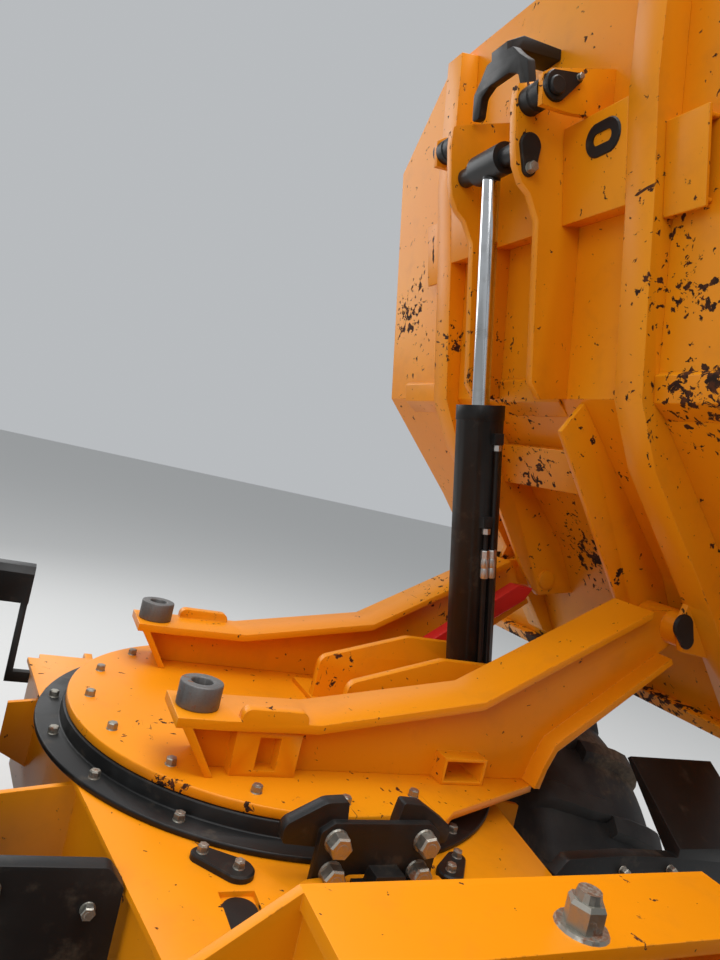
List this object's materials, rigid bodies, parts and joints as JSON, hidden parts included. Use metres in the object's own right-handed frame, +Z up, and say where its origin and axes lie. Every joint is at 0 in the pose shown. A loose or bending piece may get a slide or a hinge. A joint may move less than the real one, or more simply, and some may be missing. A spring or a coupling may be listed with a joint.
{
  "type": "site dumper",
  "caption": "Site dumper with a swivel skip slewed to the side and tipped, articulated steering, a driver's seat behind the skip and a roll frame.",
  "frame": {"origin": "ground under the middle of the parked outline, skip slewed to the right and tipped", "axes": "+X forward, +Y to the driver's left, +Z up"},
  "size_m": [3.973, 2.4576, 3.2502],
  "materials": {
    "orange_paint": "satin",
    "black_paint": "satin",
    "bare_steel": "matte",
    "chromed_rod": "gloss",
    "red_paint": "satin",
    "buffer_steel": "matte",
    "rim_paint": "satin",
    "tyre_rubber": "matte",
    "seat_vinyl": "matte",
    "lamp_housing": "matte",
    "red_lens": "gloss",
    "amber_lens": "gloss",
    "engine_iron": "matte",
    "wheel_plastic": "matte"
  },
  "bodies": {
    "front": {"front_chassis": "orange_paint", "slew_ring": "black_paint", "slew_clamp": "black_paint", "front_guards": "black_paint", "headlamps": "lamp_housing", "axle_front": "black_paint"},
    "table": {"turntable": "orange_paint", "arm_left": "orange_paint", "arm_right": "orange_paint", "buffers": "buffer_steel", "ram_bridge": "orange_paint", "safety_prop": "red_paint"},
    "skip": {"skip_shell": "orange_paint", "skip_rim": "orange_paint", "skip_rails": "orange_paint", "skip_beams": "orange_paint", "skip_hinges": "orange_paint", "skip_gussets": "orange_paint", "skip_latch": "black_paint"},
    "ram_barrel": {"ram_barrel": "black_paint"},
    "ram_rod": {"ram_rod": "chromed_rod"},
    "rear": {"rear_chassis": "orange_paint", "pivot_pin": "bare_steel", "bulkhead": "orange_paint", "floors_and_steps": "black_paint", "fuel_tank": "black_paint", "oil_tank": "black_paint", "console": "black_paint", "seat_base": "black_paint", "seat_cushion": "seat_vinyl", "seat_back": "seat_vinyl", "engine": "engine_iron", "exhaust": "bare_steel", "counterweight": "black_paint", "rear_lamps": "red_lens", "rear_mudguards": "black_paint", "roll_frame": "black_paint", "beacon": "amber_lens", "axle_rear": "black_paint"},
    "hood": {"engine_hood": "orange_paint"},
    "steering_wheel": {"steering_wheel": "wheel_plastic"},
    "wheel_front_left": {"rim_front_left": "rim_paint", "tyre_front_left": "tyre_rubber"},
    "wheel_front_right": {"rim_front_right": "rim_paint", "tyre_front_right": "tyre_rubber"},
    "wheel_rear_left": {"rim_rear_left": "rim_paint", "tyre_rear_left": "tyre_rubber"},
    "wheel_rear_right": {"rim_rear_right": "rim_paint", "tyre_rear_right": "tyre_rubber"}
  },
  "joints": [
    {"name": "steer", "type": "hinge", "parent": "front", "child": "rear", "pos_m": [-0.0765, 0.1408, 0.8], "axis": [0, 0, 1], "range_deg": [-28, 28]},
    {"name": "slew", "type": "hinge", "parent": "front", "child": "table", "pos_m": [0.9795, 0.1408, 0.99], "axis": [0, 0, 1], "range_deg": [0, 180]},
    {"name": "tip", "type": "hinge", "parent": "table", "child": "skip", "pos_m": [0.9795, -0.7642, 1.418], "axis": [1, 0, 0], "range_deg": [-74.6, 0]},
    {"name": "ram_turn", "type": "hinge", "parent": "table", "child": "ram_barrel", "pos_m": [0.9795, -0.4042, 1.124], "axis": [1, 0, 0], "range_deg": [-81.79, 0]},
    {"name": "ram_slide", "type": "slide", "parent": "ram_barrel", "child": "ram_rod", "axis": [0, 0.2217, 0.9751], "range_m": [-0.54665, 0]},
    {"name": "hood_lid", "type": "hinge", "parent": "rear", "child": "hood", "pos_m": [-1.1465, 0.1408, 1.437], "axis": [0, 1, 0], "range_deg": [0, 65]},
    {"name": "steering_wheel_turn", "type": "hinge", "parent": "rear", "child": "steering_wheel", "pos_m": [-0.4125, 0.1408, 1.592], "axis": [-0.7071, 0, 0.7071], "continuous": true},
    {"name": "roll_front_left", "type": "hinge", "parent": "front", "child": "wheel_front_left", "pos_m": [1.0795, 1.0288, 0.53433], "axis": [0, 1, 0], "continuous": true},
    {"name": "roll_front_right", "type": "hinge", "parent": "front", "child": "wheel_front_right", "pos_m": [1.0795, -0.7472, 0.53433], "axis": [0, 1, 0], "continuous": true},
    {"name": "roll_rear_left", "type": "hinge", "parent": "rear", "child": "wheel_rear_left", "pos_m": [-1.2325, 1.0288, 0.53433], "axis": [0, 1, 0], "continuous": true},
    {"name": "roll_rear_right", "type": "hinge", "parent": "rear", "child": "wheel_rear_right", "pos_m": [-1.2325, -0.7472, 0.53433], "axis": [0, 1, 0], "continuous": true}
  ],
  "couplings": [
    {"joint": "ram_turn", "follows": "tip", "ratio": 1.0963},
    {"joint": "ram_slide", "follows": "tip", "m_per_rad": 0.41977}
  ]
}
